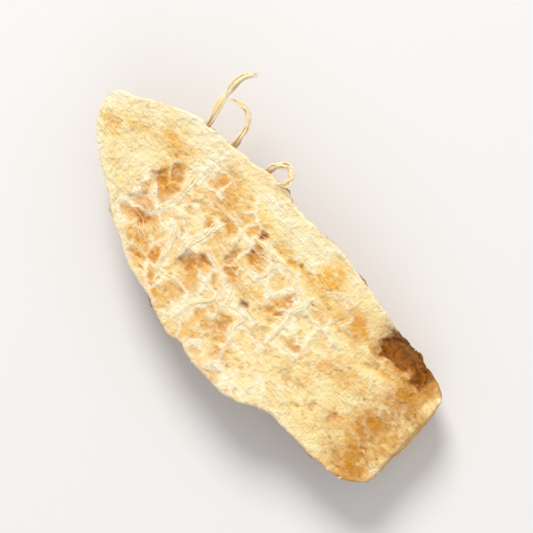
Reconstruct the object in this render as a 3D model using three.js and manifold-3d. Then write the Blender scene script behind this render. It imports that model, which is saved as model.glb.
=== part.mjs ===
// A dried slice of ginger root: the tip of a root finger, split lengthwise and cut across at one end.
// The fibrous cut face looks up, the wrinkled rind curves round below it, and the slice rests on a small
// flat spot of that rind. Millimetres, +Z up. +X runs from the pointed tip to the cross-cut end, +Y to
// the edge with the loose fibres, and the origin is in the middle of the resting spot.

import * as THREE from 'three';
import { ParametricGeometry } from 'three/addons/geometries/ParametricGeometry.js';
import { mergeVertices } from 'three/addons/utils/BufferGeometryUtils.js';
import Module from 'manifold-3d';

// Driving dimensions
const bellyDepth = 3.1; // from the cut face down to the rind, at the widest section
const bellyFullness = 0.8; // 1 is an ellipse, and less is squarer
const restCut = 0.3; // how much of the belly is flattened where the slice rests
const restMiddle = [1.0, 0.1]; // middle of the resting spot, in the outline's x and y
const cupRise = 0.22; // the cut face dries hollow, so its long edges stand higher
const tipRise = { height: 0.3, from: -3.5, to: -9 };
const endDrop = { height: 0.4, from: 2.5, to: 9 };
const edgeRound = 0.14; // rounding of the long edges
const rindInset = 0.12; // the rind starts under the edge by this much
const endSlant = 0.22; // the cross-cut isn't quite square to the slice
const endBulge = 0.12; // the middle of the cross-cut stands out by this much

// Outline of the cut face: x, y of its near edge, y of its far edge
const outline = [
  [-9.0, 0.73, 0.73],
  [-8.8, 0.15, 1.18],
  [-8.3, -0.47, 1.45],
  [-7.4, -1.05, 2.05],
  [-6.2, -1.72, 2.7],
  [-4.8, -2.46, 3.02],
  [-3.4, -2.96, 3.28],
  [-2.0, -3.22, 3.54],
  [-0.6, -3.52, 3.42],
  [0.2, -3.44, 3.5],
  [1.2, -3.58, 3.62],
  [2.6, -3.43, 3.56],
  [3.5, -3.05, 3.48],
  [4.4, -2.62, 3.42],
  [6.0, -2.46, 3.36],
  [7.4, -2.28, 3.3],
  [8.3, -1.98, 3.17],
  [8.75, -1.45, 2.85],
];
const halfWidthMax = 3.61;

// Pits where the flesh shrank between the fibres: x, y, radius along x, radius along y, depth
const pits = [
  [-5.05, 0.78, 0.44, 0.36, 0.15],
  [-5.2, 0.15, 0.34, 0.34, 0.14],
  [-5.15, -0.9, 0.28, 0.32, 0.11],
  [-4.5, -1.4, 0.32, 0.3, 0.13],
  [-3.45, 0.7, 0.36, 0.24, 0.09],
  [-3.4, 2.3, 0.5, 0.22, 0.07],
  [-2.05, -1.15, 0.46, 0.34, 0.16],
  [-1.6, -0.75, 0.3, 0.24, 0.15],
  [-1.22, 0.3, 0.24, 0.26, 0.12],
  [-0.95, 1.85, 0.2, 0.2, 0.18],
  [-0.75, -0.15, 0.32, 0.2, 0.1],
  [-0.55, 0.9, 0.3, 0.44, 0.11],
  [-0.15, -2.1, 0.26, 0.44, 0.08],
  [0.64, -0.7, 0.25, 0.22, 0.18],
  [0.75, -1.5, 0.5, 0.24, 0.08],
  [1.45, 0.15, 0.36, 0.22, 0.1],
  [1.7, 0.95, 0.24, 0.36, 0.1],
  [2.5, -0.95, 0.24, 0.22, 0.07],
  [3.65, -1.05, 0.28, 0.28, 0.07],
  [4.8, -1.65, 0.2, 0.18, 0.07],
  [5.3, -1.15, 0.24, 0.24, 0.07],
  [6.0, -0.85, 0.22, 0.24, 0.08],
];

// Fibre bundles that cross the cut face and stand out of it: start x, y and end x, y
const strands = [
  [-4.35, 0.9, -4.15, -0.5],
  [-3.7, 0.42, -3.0, 0.25],
  [-3.6, -0.6, -2.9, -1.5],
  [-2.9, -1.5, -2.55, -2.5],
  [-2.4, 0.6, -2.45, -0.9],
  [-1.62, 1.7, -1.55, 0.75],
  [-1.5, -0.35, -0.25, -0.6],
  [-0.6, 1.75, -0.35, 1.45],
  [-0.4, -1.0, -0.8, -2.9],
  [-0.35, 1.45, 1.3, 1.5],
  [-0.25, -0.6, 0.15, -1.05],
  [0.12, 1.3, 0.18, 0.25],
  [0.15, -1.05, 1.0, -0.95],
  [1.0, -0.95, 1.25, -2.2],
  [1.3, 1.5, 2.1, 0.9],
  [2.1, 0.9, 2.2, -0.7],
  [2.2, -0.45, 3.3, -0.4],
];
const strandHeight = 0.11;
const strandWidth = 0.2;

// The places of the pits, the strands and the net are stirred by noise: waves per millimetre, reach
const stir = [
  [1.5, 0.2],
  [4.3, 0.09],
];
const stirSeed = 3;

// Net of raised lines round sunken cells, in the core of the cut face. It fades in and out along x, and
// towards the smooth outer flesh along the far edge.
const net = {
  cell: [1.1, 0.74],
  depth: 0.1,
  sunken: [0.25, 0.95],
  floorEdge: 0.25,
  lineHeight: 0.06,
  lineWidth: 0.16,
  start: [-6.2, -5.3],
  stop: [2.2, 4.8],
  outerFlesh: [0.55, 1.25],
  seed: 21,
};

// Lengthwise grain of the dried flesh: a wave across the slice that sways along it, and a slanting one
const grain = { height: 0.025, across: 9.5, sway: 1.3, swayAlong: 0.9, slant: [3.1, 4.3] };

// The line between the outer flesh and the core, which shows as a shallow groove along the far side
const coreLine = { y: 1.72, from: -2.4, to: 7.2, fade: 1, depth: 0.15, width: 0.22, sway: 0.12 };

// The far corner of the cross-cut end falls away to the rind
const cornerFall = { depth: 0.6, x: [4.4, 6.4], y: [1.9, 3.3] };

// Rind: lengthwise wrinkles, low bulges and the ring scars of the scale leaves
const wrinkles = { count: 11, height: 0.11, sway: 0.55, swayAlong: 0.8, kink: 0.6, kinkAlong: 2.3 };
const bulges = { height: 0.06, first: [1.9, 3], second: [1.3, -2] };
const ringScars = { at: [-5.7, -1.6, 2.9, 6.6], height: 0.17, width: 0.34, sway: 0.25 };

// Rough skin of the cross-cut: height, and waves per millimetre in y and z
const endRough = { height: 0.05, y: 7, z: 6 };

// Curled fibres torn from the far edge: points along each, x, y and height over the resting plane
const fibreRadius = 0.15;
const fibres = [
  [
    [-5.55, 2.2, 2.3],
    [-5.75, 3.1, 2.7],
    [-6.05, 4.2, 3.0],
    [-6.1, 5.0, 3.1],
    [-5.85, 5.65, 3.0],
  ],
  [
    [-4.35, 2.6, 2.3],
    [-4.4, 3.3, 2.6],
    [-4.65, 4.1, 2.9],
    [-5.2, 4.4, 3.0],
    [-5.95, 4.15, 3.0],
  ],
  [
    [-2.7, 2.8, 2.3],
    [-2.75, 3.5, 2.65],
    [-2.62, 4.0, 2.95],
    [-2.28, 4.2, 3.1],
    [-1.95, 3.98, 3.15],
    [-1.93, 3.62, 3.1],
    [-2.2, 3.42, 3.0],
  ],
];

const bodySteps = 76; // sections from the tip to the cross-cut
const capSteps = 6; // rings across the cross-cut
const ringSteps = 60; // points round a section
const faceShare = 0.52; // part of those points that lie on the cut face
const fibreSides = 6;
const fibreStepsPerPoint = 4;

const { lerp, smoothstep, clamp } = THREE.MathUtils;

function bump(distance, width) {
  return Math.exp(-((distance / width) ** 2));
}

// A number from 0 to 1 for a whole-number place in a lattice
function latticeNumber(i, j, layer, seed) {
  const places = [
    [i, 73856093],
    [j, 19349663],
    [layer, 83492791],
    [seed, 265443577],
  ];
  let mixed = places.reduce((sum, [place, prime]) => sum ^ Math.imul(place, prime), 0);
  mixed = Math.imul(mixed ^ (mixed >>> 13), 1274126177);
  mixed = Math.imul(mixed ^ (mixed >>> 16), 668265263);
  return ((mixed ^ (mixed >>> 15)) & 0xffff) / 0xffff;
}

// Noise from -1 to 1: a smooth blend of the numbers at the four lattice corners round a point
function noise(x, y, layer, seed) {
  const [i, j] = [Math.floor(x), Math.floor(y)];
  const [u, v] = [smoothstep(x - i, 0, 1), smoothstep(y - j, 0, 1)];
  const row = (k) => lerp(latticeNumber(i, j + k, layer, seed), latticeNumber(i + 1, j + k, layer, seed), u);
  return 2 * lerp(row(0), row(1), v) - 1;
}

// Cell of a net with one point in each lattice square: how far its border is, and a number of its own
function cellAt(x, y, seed) {
  const [i, j] = [Math.floor(x), Math.floor(y)];
  const found = [];
  for (let k = 0; k < 9; k += 1) {
    const [p, q] = [i + (k % 3) - 1, j + Math.floor(k / 3) - 1];
    const away = Math.hypot(p + latticeNumber(p, q, 1, seed) - x, q + latticeNumber(p, q, 2, seed) - y);
    found.push({ away, number: latticeNumber(p, q, 3, seed) });
  }
  found.sort((a, b) => a.away - b.away);
  return { border: found[1].away - found[0].away, number: found[0].number };
}

// Catmull-Rom through the outline's rows; along runs from 0 at the tip to 1 at the cross-cut
function section(along) {
  const last = outline.length - 1;
  const place = clamp(along, 0, 1) * last;
  const row = Math.min(Math.floor(place), last - 1);
  const part = place - row;
  const rows = [row - 1, row, row + 1, row + 2];
  const [before, from, to, after] = rows.map((k) => outline[clamp(k, 0, last)]);
  const [x, near, far] = from.map((value, k) => {
    const slopeIn = (to[k] - before[k]) / 2;
    const slopeOut = (after[k] - value) / 2;
    const cubic = 2 * value - 2 * to[k] + slopeIn + slopeOut;
    const square = -3 * value + 3 * to[k] - 2 * slopeIn - slopeOut;
    return ((cubic * part + square) * part + slopeIn) * part + value;
  });
  return { x, middle: (near + far) / 2, half: (far - near) / 2 };
}

// Distance from a point to a straight strand
function strandDistance(x, y, [x0, y0, x1, y1]) {
  const lengthSquared = (x1 - x0) ** 2 + (y1 - y0) ** 2;
  const part = clamp(((x - x0) * (x1 - x0) + (y - y0) * (y1 - y0)) / lengthSquared, 0, 1);
  return Math.hypot(x - lerp(x0, x1, part), y - lerp(y0, y1, part));
}

// A place on the cut face moved by the noises that stir it
function stirred(x, y) {
  let [wx, wy] = [x, y];
  stir.forEach(([fine, reach], k) => {
    wx += reach * noise(fine * x, fine * y, 0, stirSeed + 2 * k);
    wy += reach * noise(fine * x, fine * y, 5, stirSeed + 2 * k + 1);
  });
  return [wx, wy];
}

// Depth of one pit at a place
function pitDepth(x, y, [px, py, rx, ry, depth]) {
  return depth * bump(Math.hypot((x - px) / rx, (y - py) / ry), 1);
}

// Raised lines and sunken cells of the net; farEdge is the distance to the far edge of the cut face
function netRelief(x, y, farEdge) {
  const { border, number } = cellAt(x / net.cell[0], y / net.cell[1], net.seed);
  const share = smoothstep(x, ...net.start) * (1 - smoothstep(x, ...net.stop));
  const sunken = smoothstep(number, ...net.sunken) * (1 - bump(border, net.floorEdge));
  const lines = net.lineHeight * bump(border, net.lineWidth);
  return share * smoothstep(farEdge, ...net.outerFlesh) * (lines - net.depth * sunken);
}

// Grain, net, pits, strands and the core line on the cut face
function faceRelief(x, y, farEdge) {
  const swayed = grain.across * y + grain.sway * Math.sin(grain.swayAlong * x);
  let height = grain.height * (Math.sin(swayed) + Math.sin(grain.slant[0] * x + grain.slant[1] * y));
  const [wx, wy] = stirred(x, y);
  height += netRelief(wx, wy, farEdge);
  height -= Math.max(...pits.map((pit) => pitDepth(wx, wy, pit)));
  const strandAway = Math.min(...strands.map((strand) => strandDistance(wx, wy, strand)));
  height += strandHeight * bump(strandAway, strandWidth);
  const begun = smoothstep(x, coreLine.from, coreLine.from + coreLine.fade);
  const ended = smoothstep(x, coreLine.to - coreLine.fade, coreLine.to);
  const lineY = coreLine.y + coreLine.sway * Math.sin(x);
  return height - coreLine.depth * begun * (1 - ended) * bump(y - lineY, coreLine.width);
}

// Height of the cut face's broad warp; across runs from -1 at the near edge to 1 at the far edge, and
// scale is the section's share of the greatest width
function faceWarp(x, y, across, scale) {
  const cup = cupRise * scale * across ** 2;
  const tip = tipRise.height * smoothstep(-x, -tipRise.from, -tipRise.to);
  const end = endDrop.height * smoothstep(x, endDrop.from, endDrop.to);
  const corner = cornerFall.depth * smoothstep(x, ...cornerFall.x) * smoothstep(y, ...cornerFall.y);
  return cup + tip - end - corner;
}

// Wrinkles, bulges and ring scars, as a height out of the rind at an angle below the cut face
function rindRelief(x, angle) {
  const sway = wrinkles.sway * Math.sin(wrinkles.swayAlong * x + 2 * angle);
  const kink = wrinkles.kink * Math.sin(wrinkles.kinkAlong * x);
  let height = wrinkles.height * Math.sin(wrinkles.count * angle + sway + kink);
  const [first, second] = [bulges.first, bulges.second].map(([a, b]) => Math.sin(a * x + b * angle));
  height += bulges.height * first * second;
  for (const at of ringScars.at) {
    const away = x - at - ringScars.sway * Math.sin(2 * angle + at);
    height += ringScars.height * bump(away, ringScars.width);
  }
  return height;
}

// A point of a section's closed ring: over the cut face, then back round the rind
function ringPoint(along, round) {
  const { x, middle, half } = section(along);
  const scale = half / halfWidthMax;
  const onFace = round <= faceShare;
  const angle = (Math.PI * (round - faceShare)) / (1 - faceShare);
  const turn = Math.cos(angle);
  const across = onFace ? -1 + (2 * round) / faceShare : Math.sign(turn) * Math.abs(turn) ** bellyFullness;
  let y = middle + half * across;
  const faceHeight = bellyDepth - restCut + faceWarp(x, y, across, scale);
  let z = faceHeight - edgeRound * Math.sqrt(scale) * across ** 14;
  if (onFace) {
    z += faceRelief(x, y, half * (1 - across)) * (1 - across ** 8) * Math.min(1, 2 * scale);
  } else {
    const below = Math.max(0, Math.sin(angle)) ** bellyFullness;
    const fade = Math.min(1, 2.5 * below) * scale;
    const out = (rindRelief(x, angle) - rindInset) * fade;
    y += out * turn;
    z -= bellyDepth * scale ** 0.7 * below + out * Math.sin(angle);
  }
  return [x - endSlant * across * along ** 6, y, Math.max(0, z)];
}

// The whole skin: u runs from the tip along the body and then in across the cross-cut, v round the section
function slicePoint(u, v, target) {
  const bodyShare = bodySteps / (bodySteps + capSteps);
  const [x, y, z] = ringPoint(Math.min(u / bodyShare, 1), v % 1);
  const inward = Math.max(0, (u - bodyShare) / (1 - bodyShare));
  const end = section(1);
  const rough = endRough.height * Math.sin(endRough.y * y) * Math.sin(endRough.z * z);
  target.set(
    lerp(x, end.x + endBulge, inward) + rough * inward * (1 - inward),
    lerp(y, end.middle, inward),
    lerp(z, (bellyDepth - restCut) / 2, inward),
  );
}

const wasm = await Module();
wasm.setup();

// A closed three.js geometry as a solid, with its seams merged and its flattened triangles dropped
function solidOf(geometry) {
  geometry.deleteAttribute('normal');
  geometry.deleteAttribute('uv');
  const merged = mergeVertices(geometry);
  const corners = merged.index.array;
  const kept = [];
  for (let k = 0; k < corners.length; k += 3) {
    const [a, b, c] = corners.slice(k, k + 3);
    if (a !== b && b !== c && c !== a) {
      kept.push(a, b, c);
    }
  }
  const vertProperties = new Float32Array(merged.attributes.position.array);
  return new wasm.Manifold(new wasm.Mesh({ numProp: 3, vertProperties, triVerts: new Uint32Array(kept) }));
}

function fibreSolid(points) {
  const path = new THREE.CatmullRomCurve3(points.map((point) => new THREE.Vector3(...point)));
  const rim = Array.from({ length: fibreSides }, (_, k) => {
    const angle = (2 * Math.PI * k) / fibreSides;
    return new THREE.Vector2(fibreRadius * Math.cos(angle), fibreRadius * Math.sin(angle));
  });
  const steps = points.length * fibreStepsPerPoint;
  return solidOf(new THREE.ExtrudeGeometry(new THREE.Shape(rim), { steps, extrudePath: path }));
}

function sliceGeometry() {
  const skin = new ParametricGeometry(slicePoint, bodySteps + capSteps, ringSteps);
  const solid = fibres.reduce((sum, points) => sum.add(fibreSolid(points)), solidOf(skin));
  const mesh = solid.getMesh();
  const geometry = new THREE.BufferGeometry();
  geometry.setAttribute('position', new THREE.BufferAttribute(new Float32Array(mesh.vertProperties), 3));
  geometry.setIndex(new THREE.BufferAttribute(new Uint32Array(mesh.triVerts), 1));
  geometry.translate(-restMiddle[0], -restMiddle[1], 0);
  geometry.computeVertexNormals();
  return geometry;
}

const driedFlesh = new THREE.MeshStandardMaterial({ color: 0xe9c98f, roughness: 0.85, metalness: 0 });

const gingerSlice = new THREE.Mesh(sliceGeometry(), driedFlesh);
gingerSlice.name = 'ginger_slice';

const part = new THREE.Group();
part.add(gingerSlice);

export default part;
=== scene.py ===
import math
import bpy
import numpy as np
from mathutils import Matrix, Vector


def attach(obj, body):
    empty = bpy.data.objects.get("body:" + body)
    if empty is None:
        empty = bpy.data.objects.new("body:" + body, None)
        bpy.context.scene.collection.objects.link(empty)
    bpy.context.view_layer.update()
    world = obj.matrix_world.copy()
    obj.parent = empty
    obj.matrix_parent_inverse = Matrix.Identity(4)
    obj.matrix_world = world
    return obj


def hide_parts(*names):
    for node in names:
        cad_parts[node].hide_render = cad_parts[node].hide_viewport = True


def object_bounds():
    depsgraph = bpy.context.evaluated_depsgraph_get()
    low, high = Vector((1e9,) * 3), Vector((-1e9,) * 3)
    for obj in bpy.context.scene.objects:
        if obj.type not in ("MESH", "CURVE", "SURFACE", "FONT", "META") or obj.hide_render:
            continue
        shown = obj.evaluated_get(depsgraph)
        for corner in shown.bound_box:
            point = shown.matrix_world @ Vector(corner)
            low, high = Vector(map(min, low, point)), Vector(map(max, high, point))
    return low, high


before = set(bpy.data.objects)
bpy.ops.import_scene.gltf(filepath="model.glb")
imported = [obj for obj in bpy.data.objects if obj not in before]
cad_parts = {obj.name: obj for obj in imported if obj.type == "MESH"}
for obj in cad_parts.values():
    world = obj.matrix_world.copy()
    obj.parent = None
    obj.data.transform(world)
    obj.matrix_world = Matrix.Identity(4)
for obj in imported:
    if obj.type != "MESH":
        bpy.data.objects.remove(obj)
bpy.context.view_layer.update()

millimetre = 0.001
farAway = 9.0  # further than any distance that is looked for
rowsApart = 7.3  # between the rows of noise that neighbouring fibres follow


# 0 below low, 1 above high, and three parts squared less two parts cubed between them
def smoothStep(value, low, high):
    part = np.clip((value - low) / (high - low), 0.0, 1.0)
    return part * part * (3.0 - 2.0 * part)


# Bell curve: e to the power of minus the square of distance over width
def bump(distance, width):
    return np.exp(-((distance / width) ** 2))


# Sum of named fields, each times its weight
def weighed(fields, weights):
    return sum(weight * fields[name] for name, weight in weights.items())


# Whole numbers that scatter a lattice corner's place
scatter = {
    "primes": (73856093, 19349663, 83492791, 265443577),  # for the three places and the seed
    "mixers": ((13, 1274126177), (16, 668265263)),  # shift and factor
    "lastShift": 15,
    "word": 0xFFFFFFFF,
    "kept": 0xFFFF,
}


# A number from 0 to 1 for each lattice corner: its places and a seed, each times a prime and joined bit
# by bit, are twice shifted and multiplied, and the last bits are divided by the most they can be
def cornerNumber(i, j, k, seed):
    mixed = 0
    for place, prime in zip((i, j, k, seed), scatter["primes"]):
        mixed = mixed ^ (place * prime)
    mixed = mixed & scatter["word"]
    for shift, factor in scatter["mixers"]:
        mixed = ((mixed ^ (mixed >> shift)) * factor) & scatter["word"]
    return ((mixed ^ (mixed >> scatter["lastShift"])) & scatter["kept"]) / scatter["kept"]


# Value noise from -1 to 1: a smooth blend of the numbers at the eight lattice corners round each point
def valueNoise(x, y, z, seed):
    x, y, z = np.broadcast_arrays(x, y, np.asarray(z, float))
    cells = [np.floor(a).astype(np.int64) for a in (x, y, z)]
    weights = [smoothStep(a - c, 0.0, 1.0) for a, c in zip((x, y, z), cells)]
    total = np.zeros(x.shape)
    for corner in range(8):
        steps = [(corner >> axis) & 1 for axis in range(3)]
        share = np.ones(x.shape)
        for step, weight in zip(steps, weights):
            share = share * (weight if step else 1.0 - weight)
        places = [c + step for c, step in zip(cells, steps)]
        total += share * (2.0 * cornerNumber(*places, seed) - 1.0)
    return total


# Sum of octaves of value noise, each twice as fine and half as strong, over the sum of their strengths.
# Its numbers are the waves along x and along y, a level, a seed and the count of octaves.
def roughNoise(x, y, numbers):
    wavesX, wavesY, level, seed, octaves = numbers
    total = 0.0
    for octave in range(octaves):
        fine = 2.0 ** octave
        noise = valueNoise(fine * wavesX * x, fine * wavesY * y, fine * level, seed + octave)
        total = total + noise / fine
    return total / (2.0 - 2.0 ** (1 - octaves))


stirLevels = (0.0, 5.0)  # of the noises that move x and y


# Places stirred by noise: for each fineness and reach, x and y move by the reach times a noise each
def stirred(x, y, waves, seed):
    movedX, movedY = x, y
    for k, (fine, reach) in enumerate(waves):
        movedX = movedX + reach * valueNoise(fine * x, fine * y, stirLevels[0], seed + 2 * k)
        movedY = movedY + reach * valueNoise(fine * x, fine * y, stirLevels[1], seed + 2 * k + 1)
    return movedX, movedY


# Net of cells with one seeded point in each lattice square: the distance to the nearest point, the
# further distance to the second nearest (0 on a border), and a random number for the nearest cell.
# Its numbers are a cell's length and width and a seed.
def cellNet(x, y, numbers):
    length, width, seed = numbers
    x, y = x / length, y / width
    i, j = np.floor(x).astype(np.int64), np.floor(y).astype(np.int64)
    nearest = np.full(x.shape, farAway)
    second = np.full(x.shape, farAway)
    number = np.zeros(x.shape)
    for step in range(9):
        p, q = i + step % 3 - 1, j + step // 3 - 1
        away = np.hypot(p + cornerNumber(p, q, 1, seed) - x, q + cornerNumber(p, q, 2, seed) - y)
        closer = away < nearest
        second = np.where(closer, nearest, np.minimum(second, away))
        number = np.where(closer, cornerNumber(p, q, 3, seed), number)
        nearest = np.where(closer, away, nearest)
    return nearest, second - nearest, number


# Catmull-Rom through rows of numbers: a cubic between each two rows, whose slope at a row is half the
# step from the row before it to the row after it
def smoothRows(rows, count):
    rows = np.array(rows, float)
    last = len(rows) - 1
    place = np.linspace(0.0, last, count)
    row = np.minimum(place.astype(int), last - 1)
    part = (place - row)[:, None]
    before, start, stop, after = (rows[np.clip(row + k, 0, last)] for k in (-1, 0, 1, 2))
    slopeIn, slopeOut = (stop - before) / 2.0, (after - start) / 2.0
    cubic = 2.0 * start - 2.0 * stop + slopeIn + slopeOut
    square = 3.0 * stop - 3.0 * start - 2.0 * slopeIn - slopeOut
    return ((cubic * part + square) * part + slopeIn) * part + start


# A grid averaged with its four neighbours, several times over: half itself and an eighth of each
def softened(grid, times):
    for _ in range(times):
        beside = sum(np.roll(grid, step, axis) for step in (-1, 1) for axis in (0, 1))
        grid = (beside + 4.0 * grid) / 8.0
    return grid


# Slice form in millimetres: the same sizes as the solid, sampled more finely
sliceForm = {
    "bellyDepth": 3.1,
    "bellyFullness": 0.8,
    "bellyTaper": 0.7,  # power of a section's width that its depth follows
    "restCut": 0.3,
    "restMiddle": (1.0, 0.1),
    "cupRise": 0.22,
    "tipRise": (0.3, 3.5, 9.0),  # height, from and to this far towards the tip
    "endDrop": (0.4, 2.5, 9.0),
    "cornerFall": (0.6, (4.4, 6.4), (1.9, 3.3)),  # depth, x from and to, y from and to
    "edgeRound": (0.16, 0.1),  # height and width of the worn edge of the cut face
    "edgeRough": ((1.8, 0.07), (6.5, 0.03)),  # waves a millimetre and reach of the ragged outline
    "edgeNoise": ((1.0, 14), (8.0, 17)),  # level and seed on the near and on the far edge
    "raggedFrom": 0.5,  # part of the full width above which the outline is fully ragged
    "tipEdge": 0.8,  # distance from the edge for each millimetre from the tip
    "rindInset": 0.12,
    "rindFade": 2.5,  # how fast the rind's relief grows below the edge
    "endSlant": (0.22, 6),  # reach, and the power of the part along the slice that it follows
    "halfWidthMax": 3.61,
    "outline": [  # x, y of the near edge, y of the far edge
        (-9.0, 0.73, 0.73), (-8.8, 0.15, 1.18), (-8.3, -0.47, 1.45), (-7.4, -1.05, 2.05),
        (-6.2, -1.72, 2.7), (-4.8, -2.46, 3.02), (-3.4, -2.96, 3.28), (-2.0, -3.22, 3.54),
        (-0.6, -3.52, 3.42), (0.2, -3.44, 3.5), (1.2, -3.58, 3.62), (2.6, -3.43, 3.56),
        (3.5, -3.05, 3.48), (4.4, -2.62, 3.42), (6.0, -2.46, 3.36), (7.4, -2.28, 3.3),
        (8.3, -1.98, 3.17), (8.75, -1.45, 2.85),
    ],
    "outlineSteps": 6000,
    "columns": 396,
    "ringPoints": 220,
    "faceShare": 0.6,
    "paintedShading": (12, 9.0),  # painted shading: rounds of softening, and the gain on what they take away
}


# The outline's smooth curve cut into columns at even steps of its length: x, near y, far y and the part
def outlineColumns(count):
    fine = smoothRows(sliceForm["outline"], sliceForm["outlineSteps"])
    steps = np.hypot(np.diff(fine[:, 0]), np.diff(fine[:, 2] - fine[:, 1]) / 2.0)
    run = np.r_[0.0, np.cumsum(steps)]
    along = np.linspace(0.0, run[-1], count)
    x, near, far = (np.interp(along, run, fine[:, k]) for k in range(3))
    return x, near, far, np.interp(along, run, np.linspace(0.0, 1.0, len(run)))


# Broad warp of the cut face: hollow across by the square of the part across, up at the tip, and down at
# the cross-cut and at its far corner
def faceWarp(x, y, across, scale):
    form = sliceForm
    tipHeight, *tipSpan = form["tipRise"]
    endHeight, *endSpan = form["endDrop"]
    cornerDepth, cornerX, cornerY = form["cornerFall"]
    cup = form["cupRise"] * scale * across ** 2
    tip = tipHeight * smoothStep(-x, *tipSpan)
    end = endHeight * smoothStep(x, *endSpan)
    corner = cornerDepth * smoothStep(x, *cornerX) * smoothStep(y, *cornerY)
    return cup + tip - end - corner


# Distance to the nearest of several straight strands
def strandDistance(x, y, strands):
    best = np.full(x.shape, farAway)
    for x0, y0, x1, y1 in strands:
        part = ((x - x0) * (x1 - x0) + (y - y0) * (y1 - y0)) / ((x1 - x0) ** 2 + (y1 - y0) ** 2)
        part = np.clip(part, 0.0, 1.0)
        best = np.minimum(best, np.hypot(x - x0 - part * (x1 - x0), y - y0 - part * (y1 - y0)))
    return best


# Sum of soft oval patches: each is a bell curve of the distance in parts of its two radii
def ovalPatches(x, y, patches):
    total = np.zeros(x.shape)
    for px, py, rx, ry, strong in patches:
        total += strong * bump(np.hypot((x - px) / rx, (y - py) / ry), 1.0)
    return total


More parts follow.
